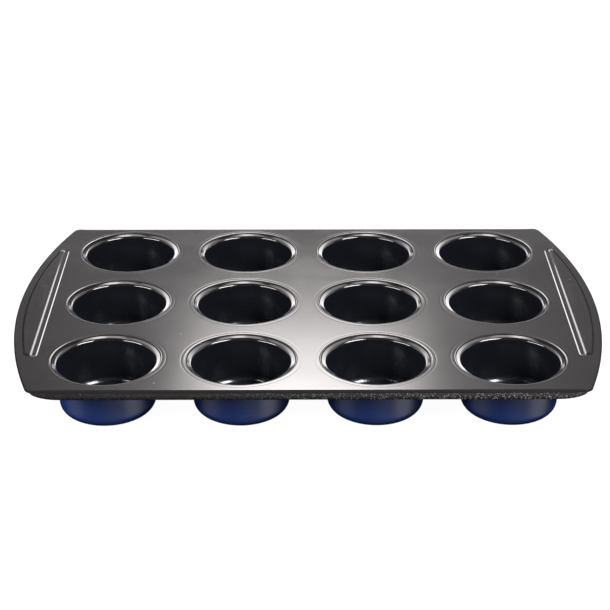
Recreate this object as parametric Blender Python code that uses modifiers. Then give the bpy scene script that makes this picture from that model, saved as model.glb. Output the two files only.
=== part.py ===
"""Muffin tin: a pressed steel deck with twelve drawn cups crimped into it, four along by three across.

Metres, +Z up. The origin is on the surface that the tin stands on, under the middle of the deck,
and +X runs along the tin's length, from one handle to the other.
"""

import math

import bmesh
import bpy

MM = 0.001

# Driving dimensions
SHEET = 0.6 * MM  # thickness of the steel, in the deck and in the cups
COLUMNS = 4
PITCH = 91 * MM  # from one cup's centre to the next, both ways
ROW_NAMES = ("front", "middle", "back")  # from -Y to +Y
DECK_TOP = 36.5 * MM  # height of the deck's upper face

HALF_LENGTH = 208 * MM  # from the centre to the tip of a curved end
HALF_WIDTH = 137.2 * MM  # from the centre to the outer face of a long side
END_RADIUS = 405 * MM  # curvature of the two ends in plan
CORNER_RADIUS = 6 * MM
SKIRT_HEIGHT = 6.8 * MM  # the long sides are turned down by this much
END_HEIGHT = 1.8 * MM  # the folded edge round the ends is this thick
FOLD_RADIUS = 1.8 * MM  # outer radius of the bend from the deck into the skirt
HEM_RADIUS = 0.85 * MM  # outer radius of the hem, where the sheet's edge is folded back
HEM_RETURN = 3.0 * MM  # how far the folded edge runs back
TAPER_START = 163 * MM  # the skirt is full height up to this x, then it rises to the corner
TAPER_LENGTH = 19.5 * MM

HOLE_RADIUS = 37.1 * MM  # top edge of the stepped seat round each cup
SEAT_RADIUS = 36.9 * MM  # foot of the seat's step
SEAT_DEPTH = 1.75 * MM
LEDGE_RADIUS = 35.0 * MM  # inner edge of the ledge that the cup's flange rests on

FLANGE_RADIUS = 36.5 * MM
FLANGE_SLOPE = math.radians(15)
LIP_RADIUS = 2.0 * MM  # bend from the flange into the wall, on the food side
LIP_CENTRE = (35.4 * MM, -3.25 * MM)  # radius, and height against the deck's upper face
DRAFT = math.radians(2.6)
FLOOR_RADIUS = 7.4 * MM  # fillet from the wall into the floor, on the food side

CHANNEL_X = 186.3 * MM  # the straight channel pressed across each handle
CHANNEL_HALF_WIDTH = 1.9 * MM
CHANNEL_MIDDLE_Y = 3.3 * MM  # the channel and the panel sit a little towards the back
CHANNEL_HALF_LENGTH = 87.5 * MM  # to the centres of its round ends
CHANNEL_DEPTH = 0.8 * MM
PANEL_MIDDLE_Y = 4.5 * MM
PANEL_END = (190.4 * MM, 88 * MM)  # centre of the grip panel's round corners, in y from its middle
PANEL_END_RADIUS = 2.0 * MM
PANEL_TIP_X = 202.5 * MM
PANEL_HEIGHT = 0.8 * MM
PAD_CENTRE = (194.4 * MM, 9.5 * MM)  # plain raised pad on the grip panel
PAD_HALF_SIZE = (3.8 * MM, 19 * MM)
PAD_CORNER_RADIUS = 2.6 * MM
PAD_HEIGHT = 0.5 * MM

ROUND_STEPS = 24  # flat sides that stand for a full circle round a cup
BEND_STEPS = 3
HEM_STEPS = 4
CORNER_STEPS = 4
TAPER_STEPS = 4
END_STEPS = 6  # along half of a curved end
PANEL_STEPS = 10
SMALL_ARC_STEPS = 4
LIP_STEPS = 2
FLOOR_STEPS = 2


def arc(centre, radius, start, end, steps):
    """Points on a circle's arc in the plane, from one angle to another, both included."""
    angles = [start + (end - start) * step / steps for step in range(steps + 1)]
    return [
        (centre[0] + radius * math.cos(angle), centre[1] + radius * math.sin(angle))
        for angle in angles
    ]


def make_material(name, colour, metallic, roughness):
    material = bpy.data.materials.new(name)
    material.use_nodes = True
    shader = material.node_tree.nodes["Principled BSDF"]
    shader.inputs["Base Color"].default_value = (*colour, 1)
    shader.inputs["Metallic"].default_value = metallic
    shader.inputs["Roughness"].default_value = roughness
    return material


def make_object(name, mesh, material, collection):
    made = bpy.data.objects.new(name, mesh)
    if not mesh.materials:
        mesh.materials.append(material)
    collection.objects.link(made)
    return made


# The deck's outline in plan


def corner_centre():
    """Centre of the round corner that joins a long side to a curved end, at +X and +Y."""
    y = HALF_WIDTH - CORNER_RADIUS
    x = HALF_LENGTH - END_RADIUS + math.sqrt((END_RADIUS - CORNER_RADIUS) ** 2 - y**2)
    return x, y


def quarter_outline():
    """The outline from the start of the skirt's taper to the tip of the +X end.

    Each station is (x, y, direction of the outward normal, run along the edge from the taper's start).
    """
    centre = corner_centre()
    straight = centre[0] - TAPER_START
    stations = []
    for step in range(TAPER_STEPS):
        run = TAPER_LENGTH * math.sin(math.asin(straight / TAPER_LENGTH) * step / TAPER_STEPS)
        stations.append((TAPER_START + run, HALF_WIDTH, math.pi / 2, run))
    end_centre = (HALF_LENGTH - END_RADIUS, 0)
    end_angle = math.atan2(centre[1], centre[0] - end_centre[0])
    for step in range(CORNER_STEPS + 1):
        angle = math.pi / 2 + (end_angle - math.pi / 2) * step / CORNER_STEPS
        x = centre[0] + CORNER_RADIUS * math.cos(angle)
        y = centre[1] + CORNER_RADIUS * math.sin(angle)
        run = straight + CORNER_RADIUS * (math.pi / 2 - angle)
        stations.append((x, y, angle, run))
    for x, y in arc(end_centre, END_RADIUS, end_angle, 0, END_STEPS)[1:]:
        stations.append((x, y, math.atan2(y, x - end_centre[0]), TAPER_LENGTH))
    return stations


def whole_outline():
    """Every station round the deck, clockwise from the back edge, by mirroring one quarter."""
    quarter = quarter_outline()
    right = quarter + [(x, -y, -angle, run) for x, y, angle, run in reversed(quarter[:-1])]
    left = [(-x, y, math.pi - angle, run) for x, y, angle, run in reversed(right)]
    return right + left


def edge_section(run):
    """The deck's edge in section, as (inset from the outline, depth below the deck's upper face).

    The skirt is full height on the long sides. It shrinks along a quarter ellipse towards the corner,
    while its hem turns from upright to lying flat under the handle.
    """
    ellipse = math.sqrt(max(0.0, 1 - (max(0.0, run) / TAPER_LENGTH) ** 2))
    height = max(END_HEIGHT, SKIRT_HEIGHT * ellipse)
    fullness = (height - END_HEIGHT) / (SKIRT_HEIGHT - END_HEIGHT)
    bend = HEM_RADIUS + (FOLD_RADIUS - HEM_RADIUS) * fullness
    turn = math.pi / 2 * (1 + fullness)
    section = []
    for step in range(BEND_STEPS + 1):
        angle = math.pi / 2 * step / BEND_STEPS
        section.append((bend * (1 - math.sin(angle)), bend * (1 - math.cos(angle))))
    for step in range(HEM_STEPS + 1):
        angle = turn * step / HEM_STEPS
        inset = HEM_RADIUS * (1 - math.cos(angle))
        section.append((inset, height - HEM_RADIUS + HEM_RADIUS * math.sin(angle)))
    inset, depth = section[-1]
    section.append((inset + HEM_RETURN * math.sin(turn), depth + HEM_RETURN * math.cos(turn)))
    return section


# Features pressed into a handle, for the handle at +X


def channel_loop(inset):
    """Outline of the straight channel, with round ends."""
    radius = CHANNEL_HALF_WIDTH - inset
    back_y = CHANNEL_MIDDLE_Y + CHANNEL_HALF_LENGTH
    front_y = CHANNEL_MIDDLE_Y - CHANNEL_HALF_LENGTH
    back = arc((CHANNEL_X, back_y), radius, 0, math.pi, SMALL_ARC_STEPS)
    front = arc((CHANNEL_X, front_y), radius, math.pi, 2 * math.pi, SMALL_ARC_STEPS)
    return back + front


def panel_loop(inset):
    """Outline of the grip panel: straight inside, bowed outside, with small round ends."""
    rise = PANEL_TIP_X - PANEL_END[0]
    small = PANEL_END_RADIUS
    radius = (PANEL_END[1] ** 2 + rise**2 - small**2) / (2 * (rise - small))
    centre = (PANEL_TIP_X - radius, 0)
    sweep = math.asin(PANEL_END[1] / (radius - small))
    bow = arc(centre, radius - inset, -sweep, sweep, PANEL_STEPS)
    back = arc(PANEL_END, small - inset, sweep, math.pi, SMALL_ARC_STEPS)
    front_centre = (PANEL_END[0], -PANEL_END[1])
    front = arc(front_centre, small - inset, math.pi, 2 * math.pi - sweep, SMALL_ARC_STEPS)
    return [(x, y + PANEL_MIDDLE_Y) for x, y in bow + back[1:] + front[:-1]]


def pad_loop(inset):
    """Outline of the plain pad, a rectangle with round corners."""
    radius = PAD_CORNER_RADIUS - inset
    loop = []
    for quarter, (across, along) in enumerate(((1, 1), (-1, 1), (-1, -1), (1, -1))):
        centre = (
            PAD_CENTRE[0] + across * (PAD_HALF_SIZE[0] - PAD_CORNER_RADIUS),
            PAD_CENTRE[1] + along * (PAD_HALF_SIZE[1] - PAD_CORNER_RADIUS),
        )
        start = quarter * math.pi / 2
        loop += arc(centre, radius, start, start + math.pi / 2, 2)
    return loop


# Working on one sheet of faces


def add_ring(sheet, points):
    """A closed ring of edges through the points."""
    vertices = [sheet.verts.new(point) for point in points]
    for index, vertex in enumerate(vertices):
        sheet.edges.new((vertices[index - 1], vertex))
    return vertices


def loft(sheet, rings):
    """Faces from each ring to the next, which has as many vertices."""
    for near, far in zip(rings, rings[1:]):
        for index in range(len(near)):
            sheet.faces.new((near[index - 1], near[index], far[index], far[index - 1]))


def fill_flat(sheet, rings):
    """Fills the flat region between an outer ring and the rings inside it."""
    edges = set()
    for ring in rings:
        for index, vertex in enumerate(ring):
            edges.add(sheet.edges.get((ring[index - 1], vertex)))
    bmesh.ops.triangle_fill(sheet, edges=list(edges), use_beauty=True, normal=(0, 0, 1))


def flat_ring(sheet, points, side, height):
    """A ring at one height, on the handle at +X (side 1) or at -X (side -1)."""
    return add_ring(sheet, [(side * x, y, DECK_TOP + height) for x, y in points])


def press_handle(sheet, side):
    """Presses one handle's channel, grip panel and pad. Returns the two rings left open in the deck."""
    channel_edge = flat_ring(sheet, channel_loop(0), side, 0)
    channel_floor = flat_ring(sheet, channel_loop(CHANNEL_DEPTH), side, -CHANNEL_DEPTH)
    loft(sheet, [channel_edge, channel_floor])
    fill_flat(sheet, [channel_floor])

    panel_edge = flat_ring(sheet, panel_loop(0), side, 0)
    panel_top = flat_ring(sheet, panel_loop(PANEL_HEIGHT), side, PANEL_HEIGHT)
    pad_edge = flat_ring(sheet, pad_loop(0), side, PANEL_HEIGHT)
    pad_top = flat_ring(sheet, pad_loop(PAD_HEIGHT), side, PANEL_HEIGHT + PAD_HEIGHT)
    loft(sheet, [panel_edge, panel_top])
    fill_flat(sheet, [panel_top, pad_edge])
    loft(sheet, [pad_edge, pad_top])
    fill_flat(sheet, [pad_top])
    return [channel_edge, panel_edge]


def press_seat(sheet, centre):
    """Presses the stepped seat round one cup's hole. Returns the ring left open in the deck."""
    ledge_drop = (SEAT_RADIUS - LEDGE_RADIUS) * math.tan(FLANGE_SLOPE)
    section = (
        (HOLE_RADIUS, 0),
        (SEAT_RADIUS, -SEAT_DEPTH),
        (LEDGE_RADIUS, -SEAT_DEPTH - ledge_drop),
    )
    rings = []
    for radius, height in section:
        circle = arc(centre, radius, 0, 2 * math.pi, ROUND_STEPS)[:-1]
        rings.append(add_ring(sheet, [(x, y, DECK_TOP + height) for x, y in circle]))
    loft(sheet, rings)
    return rings[0]


def bend_edge(sheet):
    """Bends the long sides down and folds the hem. Returns the ring left open in the deck."""
    stations = whole_outline()
    sections = [edge_section(run) for x, y, angle, run in stations]
    rings = []
    for level in zip(*sections):
        points = []
        for (x, y, angle, run), (inset, depth) in zip(stations, level):
            points.append(
                (x - inset * math.cos(angle), y - inset * math.sin(angle), DECK_TOP - depth)
            )
        rings.append(add_ring(sheet, points))
    loft(sheet, rings)
    return rings[0]


def cup_centres():
    """Each cup's name and its centre in plan."""
    centres = {}
    for row, row_name in enumerate(ROW_NAMES):
        for column in range(COLUMNS):
            x = (column - (COLUMNS - 1) / 2) * PITCH
            y = (row - (len(ROW_NAMES) - 1) / 2) * PITCH
            centres[f"cup_{row_name}_{column + 1}"] = (x, y)
    return centres


def make_deck(material, collection):
    """The deck as one sheet with its upper face modelled, given its thickness by Solidify."""
    sheet = bmesh.new()
    open_rings = [bend_edge(sheet)]
    for side in (1, -1):
        open_rings += press_handle(sheet, side)
    for centre in cup_centres().values():
        open_rings.append(press_seat(sheet, centre))
    fill_flat(sheet, open_rings)
    bmesh.ops.recalc_face_normals(sheet, faces=sheet.faces)
    widest = max(sheet.faces, key=lambda face: face.calc_area())
    if widest.normal.z < 0:
        bmesh.ops.reverse_faces(sheet, faces=sheet.faces)
    mesh = bpy.data.meshes.new("deck")
    sheet.to_mesh(mesh)
    sheet.free()
    mesh.shade_smooth()
    mesh.set_sharp_from_angle(angle=math.radians(35))
    deck = make_object("deck", mesh, material, collection)
    thickness = deck.modifiers.new("thickness", "SOLIDIFY")
    thickness.thickness = SHEET
    thickness.offset = -1
    thickness.use_even_offset = True
    thickness.use_quality_normals = True
    return deck


def cup_side(offset):
    """One side of the cup's wall in section, as (radius, height above the floor's underside).

    It runs from the floor's centre up to the flange's tip. offset is 0 on the food side and SHEET outside.
    """
    lip = (LIP_CENTRE[0], DECK_TOP + LIP_CENTRE[1])
    wall_x = lip[0] - LIP_RADIUS * math.cos(DRAFT)
    wall_z = lip[1] + LIP_RADIUS * math.sin(DRAFT)
    floor_centre_z = SHEET + FLOOR_RADIUS
    wall_at_floor = wall_x - (wall_z - floor_centre_z) * math.tan(DRAFT)
    floor_centre = (wall_at_floor - FLOOR_RADIUS / math.cos(DRAFT), floor_centre_z)
    fillet = arc(floor_centre, FLOOR_RADIUS + offset, -math.pi / 2, -DRAFT, FLOOR_STEPS)
    bend = arc(lip, LIP_RADIUS - offset, math.pi - DRAFT, math.pi / 2 + FLANGE_SLOPE, LIP_STEPS)
    tip_z = bend[-1][1] + (FLANGE_RADIUS - bend[-1][0]) * math.tan(FLANGE_SLOPE)
    return [(0, SHEET - offset), *fillet, *bend, (FLANGE_RADIUS, tip_z)]


def make_cup_mesh():
    """A cup's section turned round its axis: up the food side, over the flange and down the outside."""
    section = cup_side(0) + cup_side(SHEET)[::-1]
    profile = bpy.data.meshes.new("cup_section")
    edges = [(index, index + 1) for index in range(len(section) - 1)]
    profile.from_pydata([(radius, 0, height) for radius, height in section], edges, [])
    turned = bpy.data.objects.new("cup_section", profile)
    bpy.context.scene.collection.objects.link(turned)
    turn = turned.modifiers.new("turn", "SCREW")
    turn.steps = ROUND_STEPS
    turn.render_steps = ROUND_STEPS
    turn.use_merge_vertices = True
    turn.merge_threshold = 0.00001
    graph = bpy.context.evaluated_depsgraph_get()
    mesh = bpy.data.meshes.new_from_object(turned.evaluated_get(graph))
    bpy.data.objects.remove(turned)
    mesh.name = "cup"
    mesh.shade_smooth()
    mesh.set_sharp_from_angle(angle=math.radians(35))
    return mesh


def main():
    for old in list(bpy.data.objects):
        bpy.data.objects.remove(old)
    tin = bpy.data.collections.new("muffin_tin")
    bpy.context.scene.collection.children.link(tin)
    coating = make_material("dark_grey_nonstick", (0.055, 0.052, 0.053), 0.7, 0.3)
    enamel = make_material("navy_enamel", (0.016, 0.028, 0.105), 0.1, 0.35)
    make_deck(coating, tin)
    cup_mesh = make_cup_mesh()
    for name, (x, y) in cup_centres().items():
        cup = make_object(name, cup_mesh, enamel, tin)
        cup.location = (x, y, 0)


main()
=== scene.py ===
"""Looks for the muffin tin: a pressed deck with a dark nonstick coating, and twelve cups, navy outside.

Metres, in the CAD frame: +X along the tin's length, +Y away from the camera, +Z up, and the tin stands
on z = 0. Every visible piece is built here as one surface from its section, then given its thickness.
"""

import math

import bmesh
import bpy
from mathutils import Matrix, Vector


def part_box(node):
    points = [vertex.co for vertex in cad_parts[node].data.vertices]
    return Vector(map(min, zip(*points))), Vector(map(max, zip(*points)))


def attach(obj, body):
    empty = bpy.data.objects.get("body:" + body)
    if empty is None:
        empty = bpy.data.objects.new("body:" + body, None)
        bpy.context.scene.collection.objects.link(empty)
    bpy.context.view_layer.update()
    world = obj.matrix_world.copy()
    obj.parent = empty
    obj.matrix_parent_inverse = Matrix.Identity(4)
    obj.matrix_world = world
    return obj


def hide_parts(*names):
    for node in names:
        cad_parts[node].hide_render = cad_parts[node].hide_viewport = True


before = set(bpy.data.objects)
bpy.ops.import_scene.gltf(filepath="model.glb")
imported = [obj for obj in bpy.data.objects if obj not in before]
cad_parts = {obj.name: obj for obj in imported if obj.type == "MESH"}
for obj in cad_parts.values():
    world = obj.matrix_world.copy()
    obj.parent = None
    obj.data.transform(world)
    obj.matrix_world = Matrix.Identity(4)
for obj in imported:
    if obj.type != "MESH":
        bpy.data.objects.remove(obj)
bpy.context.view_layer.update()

MM = 0.001

# Sizes taken from the frame
DECK_LOW, DECK_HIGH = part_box("deck")
HALF_LENGTH = DECK_HIGH.x
HALF_WIDTH = DECK_HIGH.y
CUP_BOXES = {name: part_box(name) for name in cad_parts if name.startswith("cup_")}

# The pressed sheet, as in the CAD model
SHEET = 0.6 * MM
PANEL_HEIGHT = 0.8 * MM
PAD_HEIGHT = 0.5 * MM
SHOWN_PAD_HEIGHT = 0.05 * MM  # both are shown lower than the CAD model's
SHOWN_PANEL_HEIGHT = 0.4 * MM
DECK_TOP = DECK_HIGH.z - PANEL_HEIGHT - PAD_HEIGHT
SKIRT_HEIGHT = DECK_TOP - DECK_LOW.z
END_RADIUS = 405 * MM
CORNER_RADIUS = 6 * MM
END_HEIGHT = 1.8 * MM
FOLD_RADIUS = 1.8 * MM
HEM_RADIUS = 0.85 * MM
HEM_RETURN = 3.0 * MM
EDGE_MARGIN = 1.0 * MM  # flat sheet between the bend and the rest of the deck
TAPER_START = 163 * MM
TAPER_LENGTH = 19.5 * MM

# The stepped seat round each cup
GROOVE_RADIUS = 40.5 * MM
GROOVE_HALF_WIDTH = 0.8 * MM
GROOVE_DEPTH = 0.018 * MM
SHOULDER_RADIUS = 4 * MM  # the deck first rolls gently towards the opening, up to SHOULDER_TILT
SHOULDER_TILT = math.radians(13)
CREST_RADIUS = 0.8 * MM  # then turns sharply down into the step
CREST_TILT = math.radians(85)
SEAT_RADIUS = 36.9 * MM
SEAT_DEPTH = 1.75 * MM
STEP_LEAN = 0.05 * MM  # how far the step's wall leans in towards its foot
STEP_FOOT = 0.25 * MM  # the round foot of the step, and the size of its bevel
STEP_FOOT_BEVEL = 0.08 * MM
LEDGE_RADIUS = 35.0 * MM

# The cups
FLANGE_RADIUS = 36.5 * MM
FLANGE_SLOPE = math.radians(20)
LIP_RADIUS = 2.0 * MM
LIP_CENTRE = (35.4 * MM, -3.25 * MM)
DRAFT = math.radians(2.6)
FLOOR_RADIUS = 7.4 * MM

# The handles
CHANNEL_X = 186.3 * MM
CHANNEL_MIDDLE_Y = 3.3 * MM
CHANNEL_HALF_LENGTH = 87.5 * MM  # to the centres of its round ends
CHANNEL_DEPTH = 0.3 * MM
CHANNEL_INNER_SIDE = (1.5 * MM, 2.4 * MM)  # the channel's side rises between these, from its middle
CHANNEL_OUTER_SIDE = (1.5 * MM, 2.5 * MM)
CHANNEL_BACK_SHARE = 0.6  # the channel gets shallower towards the back
PANEL_TIP_X = 202.6 * MM
PANEL_BOW_RADIUS = 385 * MM
PANEL_FRONT_Y = -86.0 * MM
PANEL_BACK_Y = 94.5 * MM
PANEL_BOW_RISE = 1.4 * MM
PANEL_END_RISE = 1.5 * MM
PANEL_FADE = 70 * MM  # the panel rises to its full height over this length from its back end
PANEL_BACK_SHARE = 0.3  # and starts there at this share of it
PAD_CENTRE = (194.4 * MM, 9.5 * MM)
PAD_HALF_SIZE = (3.8 * MM, 19 * MM)
PAD_CORNER_RADIUS = 2.6 * MM
PAD_RISE = 2.5 * MM
HANDLE_INNER_X = 181.5 * MM  # the finely divided patch that holds a handle's features
HANDLE_FINE_X = 190.5 * MM
HANDLE_OUTER_RADIUS = END_RADIUS - 3.6 * MM
HANDLE_NARROWEST = 0.2 * MM  # least width of a group of the patch's columns
HANDLE_RIM_WIDTH = 0.5 * MM  # least width outside the panel's side
HANDLE_FRONT_Y = -91 * MM
HANDLE_BACK_Y = 98 * MM

# How finely the shapes are divided
ROUND_STEPS = 144
BEND_STEPS = 10
HEM_STEPS = 12
CORNER_STEPS = 20
TAPER_STEPS = 24
END_STEPS = 60
SHOULDER_STEPS = 5
CREST_STEPS = 8
GROOVE_STEPS = 8
LIP_STEPS = 14
FLOOR_STEPS = 14
WALL_STEPS = 10
HANDLE_FINE_STEPS = 34
PANEL_STEPS = 16  # from there to the grip panel's bowed side
BOW_STEPS = 6  # down that side
RIM_STEPS = 6  # and on to the patch's outer edge
HANDLE_LONG_STEPS = 260

# The camera, and the frame's 36 mm sensor
CAMERA_PLACE = (-6.81 * MM, -1081.22 * MM, 543.06 * MM)
CAMERA_PITCH = math.radians(25.231)
CAMERA_YAW = math.radians(0.259)
CAMERA_LENS_MM = 97.226


def arc(centre, radius, start, end, steps):
    """Points on a circle's arc in the plane, from one angle to another, both included."""
    angles = [start + (end - start) * step / steps for step in range(steps + 1)]
    return [
        (centre[0] + radius * math.cos(angle), centre[1] + radius * math.sin(angle))
        for angle in angles
    ]


def smooth_step(low, high, value):
    """0 at low and 1 at high, with a smooth ramp between them. low may be the larger of the two."""
    share = min(1.0, max(0.0, (value - low) / (high - low)))
    return share * share * (3 - 2 * share)


# Working on one sheet of faces


def add_ring(sheet, points):
    """A closed ring of edges through the points."""
    vertices = [sheet.verts.new(point) for point in points]
    for index, vertex in enumerate(vertices):
        sheet.edges.new((vertices[index - 1], vertex))
    return vertices


def loft(sheet, rings, material_index=0):
    """Faces from each ring to the next, which has as many vertices."""
    for near, far in zip(rings, rings[1:]):
        for index in range(len(near)):
            face = sheet.faces.new((near[index - 1], near[index], far[index], far[index - 1]))
            face.material_index = material_index


def fill_flat(sheet, rings):
    """Fills the flat region between an outer ring and the rings inside it."""
    edges = set()
    for ring in rings:
        for index, vertex in enumerate(ring):
            edges.add(sheet.edges.get((ring[index - 1], vertex)))
    bmesh.ops.triangle_fill(sheet, edges=list(edges), use_beauty=True, normal=(0, 0, 1))


def show_piece(name, mesh, materials, nodes):
    """The mesh as a shown piece on the CAD body, in place of the CAD nodes."""
    for material in materials:
        mesh.materials.append(material)
    piece = bpy.data.objects.new(name, mesh)
    bpy.context.scene.collection.objects.link(piece)
    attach(piece, "root")
    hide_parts(*nodes)
    return piece


# The deck's materials, in order: on its face, painted shade (dark lines without gloss) on folds and
# pressed sides, and on its back
DECK_COATING, DECK_PAINTED_SHADE, DECK_ENAMEL = range(3)


# The deck's edge

def corner_centre():
    """Centre of the round corner that joins a long side to a curved end, at +X and +Y."""
    y = HALF_WIDTH - CORNER_RADIUS
    x = HALF_LENGTH - END_RADIUS + math.sqrt((END_RADIUS - CORNER_RADIUS) ** 2 - y**2)
    return x, y


def quarter_outline():
    """The outline from the start of the skirt's taper to the tip of the +X end.

    Each station is (x, y, direction of the outward normal, run along the edge from the taper's start).
    """
    centre = corner_centre()
    straight = centre[0] - TAPER_START
    stations = []
    for step in range(TAPER_STEPS):
        run = TAPER_LENGTH * math.sin(math.asin(straight / TAPER_LENGTH) * step / TAPER_STEPS)
        stations.append((TAPER_START + run, HALF_WIDTH, math.pi / 2, run))
    end_centre = (HALF_LENGTH - END_RADIUS, 0)
    end_angle = math.atan2(centre[1], centre[0] - end_centre[0])
    for step in range(CORNER_STEPS + 1):
        angle = math.pi / 2 + (end_angle - math.pi / 2) * step / CORNER_STEPS
        x = centre[0] + CORNER_RADIUS * math.cos(angle)
        y = centre[1] + CORNER_RADIUS * math.sin(angle)
        run = straight + CORNER_RADIUS * (math.pi / 2 - angle)
        stations.append((x, y, angle, run))
    for x, y in arc(end_centre, END_RADIUS, end_angle, 0, END_STEPS)[1:]:
        stations.append((x, y, math.atan2(y, x - end_centre[0]), TAPER_LENGTH))
    return stations


def whole_outline():
    """Every station round the deck, clockwise from the back edge, by mirroring one quarter."""
    quarter = quarter_outline()
    right = quarter + [(x, -y, -angle, run) for x, y, angle, run in reversed(quarter[:-1])]
    left = [(-x, y, math.pi - angle, run) for x, y, angle, run in reversed(right)]
    return right + left


def edge_section(run):
    """The deck's edge in section, as (inset from the outline, depth below the deck's upper face).

    The skirt is full height on the long sides. It shrinks along a quarter ellipse towards the corner,
    while its hem turns from upright to lying flat under the handle.
    """
    ellipse = math.sqrt(max(0.0, 1 - (max(0.0, run) / TAPER_LENGTH) ** 2))
    height = max(END_HEIGHT, SKIRT_HEIGHT * ellipse)
    fullness = (height - END_HEIGHT) / (SKIRT_HEIGHT - END_HEIGHT)
    bend = HEM_RADIUS + (FOLD_RADIUS - HEM_RADIUS) * fullness
    turn = math.pi / 2 * (1 + fullness)
    section = [(bend + EDGE_MARGIN, 0)]
    for step in range(BEND_STEPS + 1):
        angle = math.pi / 2 * step / BEND_STEPS
        section.append((bend * (1 - math.sin(angle)), bend * (1 - math.cos(angle))))
    for step in range(HEM_STEPS + 1):
        angle = turn * step / HEM_STEPS
        inset = HEM_RADIUS * (1 - math.cos(angle))
        section.append((inset, height - HEM_RADIUS + HEM_RADIUS * math.sin(angle)))
    inset, depth = section[-1]
    section.append((inset + HEM_RETURN * math.sin(turn), depth + HEM_RETURN * math.cos(turn)))
    return section


def bend_edge(sheet):
    """Bends the long sides down and folds the hem. Returns the ring left open in the deck."""
    stations = whole_outline()
    sections = [edge_section(run) for x, y, angle, run in stations]
    rings = []
    for level in zip(*sections):
        points = []
        for (x, y, angle, run), (inset, depth) in zip(stations, level):
            points.append(
                (x - inset * math.cos(angle), y - inset * math.sin(angle), DECK_TOP - depth)
            )
        rings.append(add_ring(sheet, points))
    fold_end = BEND_STEPS + 2
    loft(sheet, rings[:2], DECK_COATING)
    # The fold gets the painted shade: a dark line without gloss.
    loft(sheet, rings[1:fold_end], DECK_PAINTED_SHADE)
    loft(sheet, rings[fold_end - 1 :], DECK_COATING)
    return rings[0]


# The seats


def seat_section():
    """The seat in section, as (radius, height against the deck), from the deck to the ledge's edge."""
    section = [(GROOVE_RADIUS + 2 * GROOVE_HALF_WIDTH, 0)]
    for step in range(GROOVE_STEPS + 1):
        across = 1 - 2 * step / GROOVE_STEPS
        depth = GROOVE_DEPTH * (1 + math.cos(math.pi * across)) / 2
        section.append((GROOVE_RADIUS + across * GROOVE_HALF_WIDTH, -depth))
    wall = SEAT_RADIUS + STEP_LEAN
    crest = wall + CREST_RADIUS * (math.sin(CREST_TILT) - math.sin(SHOULDER_TILT))
    start = crest + SHOULDER_RADIUS * math.sin(SHOULDER_TILT)
    for step in range(SHOULDER_STEPS + 1):
        tilt = SHOULDER_TILT * step / SHOULDER_STEPS
        drop = SHOULDER_RADIUS * (1 - math.cos(tilt))
        section.append((start - SHOULDER_RADIUS * math.sin(tilt), -drop))
    drop = -section[-1][1]
    for step in range(1, CREST_STEPS + 1):
        tilt = SHOULDER_TILT + (CREST_TILT - SHOULDER_TILT) * step / CREST_STEPS
        across = CREST_RADIUS * (math.sin(tilt) - math.sin(SHOULDER_TILT))
        down = CREST_RADIUS * (math.cos(SHOULDER_TILT) - math.cos(tilt))
        section.append((crest - across, -drop - down))
    section.append((SEAT_RADIUS, -SEAT_DEPTH + STEP_FOOT))
    section.append((SEAT_RADIUS - STEP_FOOT_BEVEL, -SEAT_DEPTH + STEP_FOOT_BEVEL))
    section.append((SEAT_RADIUS - STEP_FOOT, -SEAT_DEPTH))
    ledge_drop = (SEAT_RADIUS - LEDGE_RADIUS) * math.tan(FLANGE_SLOPE)
    section.append((LEDGE_RADIUS, -SEAT_DEPTH - ledge_drop))
    return section


def press_seat(sheet, centre):
    """Presses the stepped seat round one cup's hole. Returns the ring left open in the deck."""
    rings = []
    for radius, height in seat_section():
        circle = arc(centre, radius, 0, 2 * math.pi, ROUND_STEPS)[:-1]
        rings.append(add_ring(sheet, [(x, y, DECK_TOP + height) for x, y in circle]))
    step_start = 1 + GROOVE_STEPS + SHOULDER_STEPS + CREST_STEPS // 2
    loft(sheet, rings[: step_start + 1], DECK_COATING)
    # The seat's step gets the painted shade: a dark line without gloss.
    loft(sheet, rings[step_start:-1], DECK_PAINTED_SHADE)
    loft(sheet, rings[-2:], DECK_COATING)
    return rings[0]


# The handles, for the one at +X


def bow_x(y):
    """How far out the grip panel's bowed side is, at y."""
    return PANEL_TIP_X - PANEL_BOW_RADIUS + math.sqrt(PANEL_BOW_RADIUS**2 - y**2)


def outside_pad(x, y):
    """Signed distance from the pad's outline shrunk by PAD_CORNER_RADIUS."""
    across = abs(x - PAD_CENTRE[0]) - PAD_HALF_SIZE[0] + PAD_CORNER_RADIUS
    along = abs(y - PAD_CENTRE[1]) - PAD_HALF_SIZE[1] + PAD_CORNER_RADIUS
    return math.hypot(max(0.0, across), max(0.0, along)) + min(0.0, max(across, along))


def handle_height(x, y):
    """Height of the pressed handle's surface over the flat deck."""
    beyond = max(0.0, abs(y - CHANNEL_MIDDLE_Y) - CHANNEL_HALF_LENGTH)
    away = math.hypot(x - CHANNEL_X, beyond)
    share = CHANNEL_BACK_SHARE + (1 - CHANNEL_BACK_SHARE) * smooth_step(HANDLE_BACK_Y, 0, y)
    side = CHANNEL_OUTER_SIDE if x > CHANNEL_X else CHANNEL_INNER_SIDE
    channel = share * CHANNEL_DEPTH * (1 - smooth_step(*side, away))
    to_end = min(y - PANEL_FRONT_Y, PANEL_BACK_Y - y)
    panel = (
        SHOWN_PANEL_HEIGHT
        * (PANEL_BACK_SHARE + (1 - PANEL_BACK_SHARE) * smooth_step(0, PANEL_FADE, PANEL_BACK_Y - y))
        * smooth_step(*CHANNEL_OUTER_SIDE, x - CHANNEL_X)
        * smooth_step(0, PANEL_BOW_RISE, bow_x(y) - x)
        * smooth_step(0, PANEL_END_RISE, to_end)
    )
    pad = SHOWN_PAD_HEIGHT * smooth_step(0, PAD_RISE, PAD_CORNER_RADIUS - outside_pad(x, y))
    return panel + pad - channel


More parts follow.
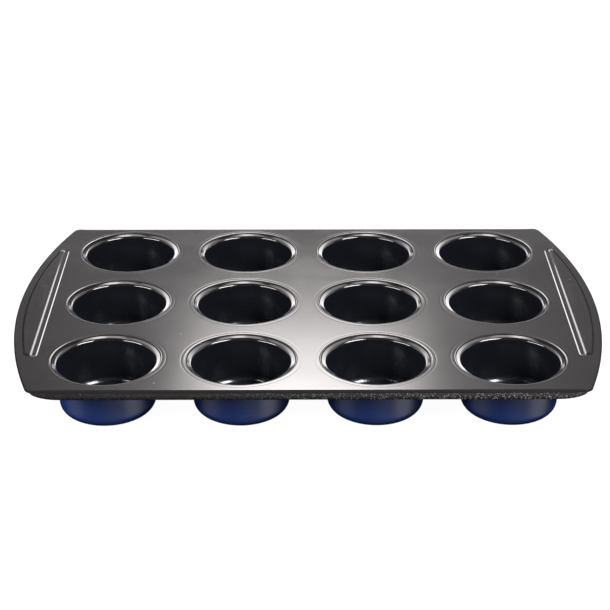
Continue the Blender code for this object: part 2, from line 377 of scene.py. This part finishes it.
def handle_column_x(column, y):
    """The x of one of the handle patch's columns: straight near the channel, bowed further out."""
    if column <= HANDLE_FINE_STEPS:
        return HANDLE_INNER_X + (HANDLE_FINE_X - HANDLE_INNER_X) * column / HANDLE_FINE_STEPS
    outer = HALF_LENGTH - END_RADIUS + math.sqrt(HANDLE_OUTER_RADIUS**2 - y**2)
    top = max(HANDLE_FINE_X + HANDLE_NARROWEST, bow_x(y) - PANEL_BOW_RISE)
    foot = max(top + HANDLE_NARROWEST, min(bow_x(y), outer - HANDLE_RIM_WIDTH))
    column -= HANDLE_FINE_STEPS
    if column <= PANEL_STEPS:
        return HANDLE_FINE_X + (top - HANDLE_FINE_X) * column / PANEL_STEPS
    column -= PANEL_STEPS
    if column <= BOW_STEPS:
        return top + (foot - top) * column / BOW_STEPS
    return foot + (outer - foot) * (column - BOW_STEPS) / RIM_STEPS


def press_handle(sheet, side):
    """Presses the handle at +X (side 1) or -X (side -1). Returns the ring left open in the deck."""
    columns = HANDLE_FINE_STEPS + PANEL_STEPS + BOW_STEPS + RIM_STEPS
    rows = []
    for row in range(HANDLE_LONG_STEPS + 1):
        y = HANDLE_FRONT_Y + (HANDLE_BACK_Y - HANDLE_FRONT_Y) * row / HANDLE_LONG_STEPS
        points = []
        for column in range(columns + 1):
            x = handle_column_x(column, y)
            border = row in (0, HANDLE_LONG_STEPS) or column in (0, columns)
            height = 0 if border else handle_height(x, y)
            points.append(sheet.verts.new((side * x, y, DECK_TOP + height)))
        rows.append(points)
    for near, far in zip(rows, rows[1:]):
        in_panel = PANEL_FRONT_Y < near[0].co.y < PANEL_BACK_Y - PANEL_END_RISE
        for column in range(columns):
            face = sheet.faces.new((near[column], near[column + 1], far[column + 1], far[column]))
            on_side = HANDLE_FINE_STEPS + PANEL_STEPS <= column < columns - RIM_STEPS
            # The panel's bowed side gets the painted shade: a dark line without gloss.
            face.material_index = DECK_PAINTED_SHADE if in_panel and on_side else DECK_COATING
    right = [row[-1] for row in rows[1:-1]]
    left = [row[0] for row in reversed(rows[1:-1])]
    return rows[0] + right + rows[-1][::-1] + left


def make_deck(materials):
    sheet = bmesh.new()
    open_rings = [bend_edge(sheet)]
    for side in (1, -1):
        open_rings.append(press_handle(sheet, side))
    for low, high in CUP_BOXES.values():
        centre = (low + high) / 2
        open_rings.append(press_seat(sheet, (centre.x, centre.y)))
    fill_flat(sheet, open_rings)
    bmesh.ops.recalc_face_normals(sheet, faces=sheet.faces)
    widest = max(sheet.faces, key=lambda face: face.calc_area())
    if widest.normal.z < 0:
        bmesh.ops.reverse_faces(sheet, faces=sheet.faces)
    mesh = bpy.data.meshes.new("deck_sheet")
    sheet.to_mesh(mesh)
    sheet.free()
    mesh.shade_smooth()
    deck = show_piece("deck_sheet", mesh, materials, ["deck"])
    thickness = deck.modifiers.new("thickness", "SOLIDIFY")
    thickness.thickness = SHEET
    thickness.offset = -1
    thickness.use_even_offset = True
    thickness.use_quality_normals = True
    thickness.material_offset = DECK_ENAMEL
    thickness.material_offset_rim = DECK_ENAMEL
    return deck


# The cups


def cup_side(offset):
    """One side of the cup's wall in section, as (radius, height above the floor's underside).

    It comes as two lists: the pocket, from near the floor's centre up the wall, and the rim, from there to
    the flange's tip. offset is 0 on the food side and SHEET outside.
    """
    lip = (LIP_CENTRE[0], DECK_TOP + LIP_CENTRE[1])
    wall_x = lip[0] - LIP_RADIUS * math.cos(DRAFT)
    wall_z = lip[1] + LIP_RADIUS * math.sin(DRAFT)
    floor_centre_z = SHEET + FLOOR_RADIUS
    wall_at_floor = wall_x - (wall_z - floor_centre_z) * math.tan(DRAFT)
    floor_centre = (wall_at_floor - FLOOR_RADIUS / math.cos(DRAFT), floor_centre_z)
    flat = [(floor_centre[0] * share, SHEET - offset) for share in (0.1, 0.4, 0.7, 0.9)]
    fillet = arc(floor_centre, FLOOR_RADIUS + offset, -math.pi / 2, -DRAFT, FLOOR_STEPS)
    bend = arc(lip, LIP_RADIUS - offset, math.pi - DRAFT, math.pi / 2 + FLANGE_SLOPE, LIP_STEPS)
    wall = []
    for step in range(1, WALL_STEPS):
        share = step / WALL_STEPS
        low, high = Vector(fillet[-1]), Vector(bend[0])
        wall.append(tuple(low.lerp(high, share)))
    flange = []
    for share in (0.5, 1.0):
        radius = bend[-1][0] + (FLANGE_RADIUS - bend[-1][0]) * share
        flange.append((radius, bend[-1][1] + (radius - bend[-1][0]) * math.tan(FLANGE_SLOPE)))
    return flat + fillet + wall, bend + flange


# A cup's materials, in order
CUP_COATING, CUP_ENAMEL, CUP_INSIDE = range(3)


def make_cup_mesh(centre):
    """A cup's two sides turned round its axis, joined at the flange's tip."""
    sheet = bmesh.new()
    tips = []
    food_side = (0, CUP_INSIDE, CUP_COATING)
    outer_side = (SHEET, CUP_ENAMEL, CUP_ENAMEL)
    for offset, pocket_index, rim_index in (food_side, outer_side):
        pocket, rim = cup_side(offset)
        rings = []
        for radius, height in pocket + rim:
            circle = arc(centre, radius, 0, 2 * math.pi, ROUND_STEPS)[:-1]
            rings.append(add_ring(sheet, [(x, y, height) for x, y in circle]))
        loft(sheet, rings[: len(pocket) + 1], pocket_index)
        loft(sheet, rings[len(pocket) :], rim_index)
        pole = sheet.verts.new((*centre, SHEET - offset))
        for index in range(ROUND_STEPS):
            face = sheet.faces.new((rings[0][index - 1], rings[0][index], pole))
            face.material_index = pocket_index
        tips.append(rings[-1])
    loft(sheet, tips, CUP_ENAMEL)
    bmesh.ops.recalc_face_normals(sheet, faces=sheet.faces)
    mesh = bpy.data.meshes.new("cup_shell")
    sheet.to_mesh(mesh)
    sheet.free()
    mesh.shade_smooth()
    mesh.set_sharp_from_angle(angle=math.radians(40))
    return mesh


# Materials


class Nodes:
    """A material's node tree, with a short way to add a node and link its inputs."""

    def __init__(self, name):
        self.material = bpy.data.materials.new(name)
        self.material.use_nodes = True
        self.tree = self.material.node_tree
        self.shader = self.tree.nodes["Principled BSDF"]
        self.place = self.tree.nodes.new("ShaderNodeTexCoord").outputs["Object"]

    def add(self, kind, inputs=(), **settings):
        node = self.tree.nodes.new(kind)
        for setting, value in settings.items():
            setattr(node, setting, value)
        for name, value in dict(inputs).items():
            self.set(node, name, value)
        return node

    def set(self, node, name, value):
        if isinstance(value, bpy.types.NodeSocket):
            self.tree.links.new(value, node.inputs[name])
        else:
            node.inputs[name].default_value = value

    def noise(self, scale, detail=2.0, roughness=0.5, place=None):
        inputs = {
            "Vector": place or self.place,
            "Scale": scale,
            "Detail": detail,
            "Roughness": roughness,
        }
        return self.add("ShaderNodeTexNoise", inputs).outputs["Fac"]

    def spread(self, value, low, high, to_low, to_high):
        """The value's range low to high, mapped to to_low to to_high and held there outside it."""
        inputs = {
            "Value": value,
            "From Min": low,
            "From Max": high,
            "To Min": to_low,
            "To Max": to_high,
        }
        return self.add("ShaderNodeMapRange", inputs, clamp=True).outputs["Result"]

    def mix(self, share, first, second):
        """A colour between two colours."""
        node = self.add("ShaderNodeMix", data_type="RGBA")
        self.set(node, 0, share)
        self.set(node, 6, first)
        self.set(node, 7, second)
        return node.outputs[2]

    def bump(self, height, distance, before=None):
        inputs = {"Height": height, "Distance": distance, "Strength": 1.0}
        node = self.add("ShaderNodeBump", inputs)
        if before:
            self.set(node, "Normal", before)
        return node.outputs["Normal"]

    def flecks(self, scale, share, size):
        """1 inside small round flecks, in a share of the pattern's cells, and 0 elsewhere."""
        inputs = {"Vector": self.place, "Scale": scale}
        cells = self.add("ShaderNodeTexVoronoi", inputs)
        chosen = self.spread(cells.outputs["Color"], 1 - share, 1 - share + 0.01, 0, 1)
        inside = self.spread(cells.outputs["Distance"], size, size * 0.6, 0, 1)
        both = self.add("ShaderNodeMath", {0: chosen, 1: inside}, operation="MULTIPLY")
        return both.outputs[0]


def make_coating():
    """Dark semi-gloss nonstick coating with a fine metallic fleck, faint smudges, a fine grain, and
    painted glints on the front skirt.
    """
    nodes = Nodes("dark_grey_nonstick")
    shader = nodes.shader
    shader.inputs["IOR"].default_value = 1.6
    cloud = nodes.noise(14, 4)
    grain = nodes.noise(1500, 2, 0.7)
    tint = nodes.mix(cloud, (0.004, 0.0038, 0.0042, 1), (0.006, 0.0057, 0.006, 1))
    fleck = nodes.flecks(700, 0.05, 0.3)
    flecked = nodes.mix(fleck, tint, (0.30, 0.29, 0.30, 1))
    split = nodes.add("ShaderNodeSeparateXYZ", {"Vector": nodes.place})
    # Painted glints: coarse light flecks only on the front skirt, denser towards the right, where the
    # light falls on it.
    front = nodes.spread(split.outputs["Y"], -HALF_WIDTH, -HALF_WIDTH + FOLD_RADIUS, 1, 0)
    right = nodes.spread(split.outputs["X"], -0.35 * HALF_LENGTH, 0.6 * HALF_LENGTH, 0.15, 1)
    coarse_glint_flecks = nodes.flecks(1700, 0.25, 0.5)
    front_glints = nodes.add("ShaderNodeMath", {0: coarse_glint_flecks, 1: front}, operation="MULTIPLY").outputs[0]
    painted_glints = nodes.add("ShaderNodeMath", {0: front_glints, 1: right}, operation="MULTIPLY").outputs[0]
    colour = nodes.mix(painted_glints, flecked, (0.30, 0.30, 0.31, 1))
    nodes.set(shader, "Base Color", colour)
    smudge = nodes.noise(22, 6, 0.62)
    nodes.set(shader, "Roughness", nodes.spread(smudge, 0.35, 0.7, 0.10, 0.13))
    waves = nodes.noise(20, 1)
    relief = nodes.bump(waves, 0.06 * MM)
    relief = nodes.bump(grain, 0.0007 * MM, relief)
    nodes.set(shader, "Normal", relief)
    return nodes.material


def make_painted_shade_coating():
    """Painted shade: the coating without gloss, which draws the dark lines on folds, steps and the grip
    panels' sides.
    """
    nodes = Nodes("painted_shade_nonstick")
    nodes.shader.inputs["Specular IOR Level"].default_value = 0.0
    nodes.shader.inputs["Roughness"].default_value = 0.6
    cloud = nodes.noise(14, 4)
    colour = nodes.mix(cloud, (0.010, 0.0096, 0.010, 1), (0.014, 0.0134, 0.014, 1))
    nodes.set(nodes.shader, "Base Color", colour)
    return nodes.material


def make_inside():
    """The same coating down in the cups, where it is a little duller and bluer."""
    nodes = Nodes("cup_nonstick")
    shader = nodes.shader
    shader.inputs["IOR"].default_value = 1.6
    cloud = nodes.noise(30, 4)
    colour = nodes.mix(cloud, (0.0035, 0.004, 0.006, 1), (0.005, 0.0056, 0.0075, 1))
    nodes.set(shader, "Base Color", colour)
    smudge = nodes.noise(40, 5, 0.6)
    nodes.set(shader, "Roughness", nodes.spread(smudge, 0.3, 0.7, 0.17, 0.21))
    grain = nodes.noise(1500, 2, 0.7)
    nodes.set(shader, "Normal", nodes.bump(grain, 0.004 * MM))
    return nodes.material


def make_enamel():
    """Navy satin coating on the outside of the cups and under the deck."""
    nodes = Nodes("navy_enamel")
    shader = nodes.shader
    shader.inputs["IOR"].default_value = 1.5
    cloud = nodes.noise(18, 4)
    colour = nodes.mix(cloud, (0.004, 0.0155, 0.077, 1), (0.0056, 0.0195, 0.093, 1))
    nodes.set(shader, "Base Color", colour)
    smudge = nodes.noise(40, 5, 0.6)
    nodes.set(shader, "Roughness", nodes.spread(smudge, 0.3, 0.7, 0.26, 0.32))
    grain = nodes.noise(1200, 2, 0.6)
    nodes.set(shader, "Normal", nodes.bump(grain, 0.008 * MM))
    return nodes.material


def make_floor_material():
    nodes = Nodes("pale_floor")
    nodes.shader.inputs["Base Color"].default_value = (0.08, 0.08, 0.08, 1)
    nodes.shader.inputs["Roughness"].default_value = 0.9
    nodes.shader.inputs["Emission Color"].default_value = (1, 1, 1, 1)
    nodes.shader.inputs["Emission Strength"].default_value = 0.97
    return nodes.material


# The studio


FLOOR_HALF_SIZE = 6.0


def make_floor():
    mesh = bpy.data.meshes.new("floor")
    half = FLOOR_HALF_SIZE
    corners = [(-half, -half, 0), (half, -half, 0), (half, half, 0), (-half, half, 0)]
    mesh.from_pydata(corners, [], [(0, 1, 2, 3)])
    mesh.materials.append(make_floor_material())
    floor = bpy.data.objects.new("floor", mesh)
    bpy.context.scene.collection.objects.link(floor)
    floor.visible_glossy = False
    floor.visible_diffuse = False


class Studio:
    """The world's node tree. Light is laid out by direction: right (+X), behind (+Y) and up (+Z)."""

    def __init__(self):
        world = bpy.data.worlds.new("studio")
        world.use_nodes = True
        bpy.context.scene.world = world
        self.tree = world.node_tree
        self.background = self.tree.nodes["Background"]
        self.direction = self.tree.nodes.new("ShaderNodeTexCoord").outputs["Generated"]
        split = self.tree.nodes.new("ShaderNodeSeparateXYZ")
        self.tree.links.new(self.direction, split.inputs[0])
        self.right, self.behind, self.up = split.outputs

    def math(self, operation, *values):
        node = self.tree.nodes.new("ShaderNodeMath")
        node.operation = operation
        for index, value in enumerate(values):
            self.tree.links.new(value, node.inputs[index])
        return node.outputs[0]

    def towards(self, azimuth):
        """The cosine of the angle to a level direction. Azimuth 0 is +X and 90 is +Y."""
        node = self.tree.nodes.new("ShaderNodeVectorMath")
        node.operation = "DOT_PRODUCT"
        self.tree.links.new(self.direction, node.inputs[0])
        azimuth = math.radians(azimuth)
        node.inputs[1].default_value = (math.cos(azimuth), math.sin(azimuth), 0)
        return node.outputs["Value"]

    def product(self, *values):
        total = values[0]
        for value in values[1:]:
            total = self.math("MULTIPLY", total, value)
        return total

    def ramp(self, value, low, high, to_low=0.0, to_high=1.0):
        """A smooth ramp from to_low, at low and below it, to to_high."""
        node = self.tree.nodes.new("ShaderNodeMapRange")
        node.interpolation_type = "SMOOTHSTEP"
        self.tree.links.new(value, node.inputs["Value"])
        numbers = {"From Min": low, "From Max": high, "To Min": to_low, "To Max": to_high}
        for name, number in numbers.items():
            node.inputs[name].default_value = number
        return node.outputs["Result"]

    def band(self, value, degrees, strength=1.0):
        """0 up to the first of four angles, strength from the second to the third, and 0 from the last."""
        starts, full, fades, ends = (sine(angle) for angle in degrees)
        rise = self.ramp(value, starts, full, 0.0, strength)
        return self.product(rise, self.ramp(value, fades, ends, 1.0, 0.0))


def sine(degrees):
    return math.sin(math.radians(degrees))


def make_world():
    """A dim studio, with bands of light behind and above the tin, which its deck and rims mirror.

    core, halo: the bright patch behind the tin, in the middle of the deck. strips: a light on each side
    of it. low_strip: a weaker one under it. overhead: the one that the far flanges mirror.

    The floor object isn't in reflections, so a pale floor in front of the tin, and none behind it, is
    part of this world.
    """
    studio = Studio()
    right, behind, up = studio.right, studio.behind, studio.up
    sideways = studio.math("ABSOLUTE", right)
    back_only = studio.ramp(behind, 0.0, 0.15)

    notch = studio.math(
        "MAXIMUM",
        studio.ramp(sideways, sine(10.5), sine(15), 1.0, 0.4),
        studio.ramp(sideways, sine(25), sine(40), 0.0, 1.0),
    )
    walls = studio.product(
        studio.ramp(up, sine(30), sine(48), WALL_LIGHT, ZENITH_LIGHT),
        studio.ramp(up, sine(74), sine(80), 1.0, 4.0),
        notch,
    )
    core = studio.product(
        studio.band(right, CORE_RIGHT, CORE_LIGHT),
        studio.band(up, CORE_UP),
        studio.ramp(up, sine(30), sine(34), 1.0, 1.5),
        back_only,
    )
    halo = studio.product(
        studio.band(right, HALO_RIGHT, HALO_LIGHT),
        studio.band(up, HALO_UP),
        back_only,
    )
    strips = studio.product(
        studio.ramp(sideways, sine(13), sine(16), 0.0, STRIP_LIGHT),
        studio.ramp(sideways, sine(26), sine(38), 1.0, 0.2),
        studio.band(up, STRIP_UP),
        studio.ramp(up, sine(28), sine(45), 1.0, 0.4),
        back_only,
    )
    low_strip = studio.product(
        studio.ramp(sideways, sine(11), sine(20), 1.0, 0.0),
        studio.band(up, LOW_STRIP_UP, LOW_STRIP_LIGHT),
        back_only,
    )
    overhead = studio.product(
        studio.ramp(sideways, sine(1.5), sine(5), OVERHEAD_LIGHT, 0.35 * OVERHEAD_LIGHT),
        studio.ramp(sideways, sine(15), sine(35), 1.0, 0.0),
        studio.band(up, OVERHEAD_UP),
        back_only,
    )
    above = studio.math("ADD", walls, core)
    for light in (halo, strips, low_strip, overhead):
        above = studio.math("ADD", above, light)

    floor_light = studio.product(
        studio.ramp(behind, -0.6, 0.1, 1.0, 0.02),
        studio.ramp(right, -0.3, 0.35, 0.6, 1.9),
        studio.ramp(up, -0.56, -0.49, 0.2 * FLOOR_LIGHT, FLOOR_LIGHT),
    )
    below = floor_light
    for azimuth, light in GLOWS:
        glow = studio.ramp(studio.towards(azimuth), *GLOW_EDGE, 0.0, light)
        below = studio.math("ADD", below, glow)

    strength = studio.math(
        "ADD",
        studio.product(above, studio.ramp(up, sine(-2), sine(1))),
        studio.product(below, studio.ramp(up, sine(-2), sine(1), 1.0, 0.0)),
    )
    studio.background.inputs["Color"].default_value = WORLD_COLOUR
    studio.tree.links.new(strength, studio.background.inputs["Strength"])


def add_softbox(name, azimuth, elevation, distance, width, height, radiance):
    """A rectangular area light that faces the deck's centre. Azimuth 0 is +X and 90 is +Y."""
    light = bpy.data.lights.new(name, "AREA")
    light.shape = "RECTANGLE"
    light.size = width
    light.size_y = height
    light.energy = radiance * math.pi * width * height
    softbox = bpy.data.objects.new(name, light)
    azimuth, elevation = math.radians(azimuth), math.radians(elevation)
    towards = Vector(
        (
            math.cos(elevation) * math.cos(azimuth),
            math.cos(elevation) * math.sin(azimuth),
            math.sin(elevation),
        )
    )
    softbox.location = Vector((0, 0, DECK_TOP)) + distance * towards
    softbox.rotation_euler = towards.to_track_quat("Z", "Y").to_euler()
    softbox.visible_camera = False
    bpy.context.scene.collection.objects.link(softbox)


WORLD_COLOUR = (1.0, 0.955, 0.955, 1)

# Where each band of light starts, is full, fades and ends, in degrees to the right or up
CORE_RIGHT = (-5.1, -1.5, 1.5, 5.5)
CORE_UP = (24, 29.5, 36, 40)
HALO_RIGHT = (-11.5, -1.5, 2.5, 12.5)
HALO_UP = (21.5, 26, 40, 46)
STRIP_UP = (0, 4, 55, 62)
LOW_STRIP_UP = (12, 16, 18.5, 21.5)
OVERHEAD_UP = (59, 62, 68, 73)

WALL_LIGHT = 0.27
ZENITH_LIGHT = 0.06
CORE_LIGHT = 10.0
HALO_LIGHT = 0.7
STRIP_LIGHT = 6.0
LOW_STRIP_LIGHT = 2.7
OVERHEAD_LIGHT = 12.0
FLOOR_LIGHT = 0.52
GLOWS = ((340, 1.5), (192, 0.6))  # azimuth and strength of two soft lights low beside the tin
GLOW_EDGE = (0.73, 0.85)  # cosines from a glow's middle, where it starts and where it is full
SOFTBOXES = (
    ("left_softbox", 209, 22, 1.5, 1.1, 0.3, 26.0),
    ("right_softbox", 322, 41, 1.5, 0.95, 0.5, 30.0),
)


def make_camera():
    camera = bpy.data.objects.new("camera", bpy.data.cameras.new("camera"))
    camera.data.lens = CAMERA_LENS_MM
    camera.location = CAMERA_PLACE
    camera.rotation_euler = (math.pi / 2 - CAMERA_PITCH, 0, -CAMERA_YAW)
    bpy.context.scene.collection.objects.link(camera)
    bpy.context.scene.camera = camera


make_camera()
coating = make_coating()
# Painted shade, for the dark lines on folds, steps and the grip panels' sides.
painted_shade_coating = make_painted_shade_coating()
enamel = make_enamel()
inside = make_inside()
make_deck([coating, painted_shade_coating, enamel])
for name, (low, high) in CUP_BOXES.items():
    centre = (low + high) / 2
    shell = make_cup_mesh((centre.x, centre.y))
    show_piece(name + "_shell", shell, [coating, enamel, inside], [name])
make_floor()
make_world()
for softbox in SOFTBOXES:
    add_softbox(*softbox)
bpy.context.scene.view_settings.view_transform = "Standard"
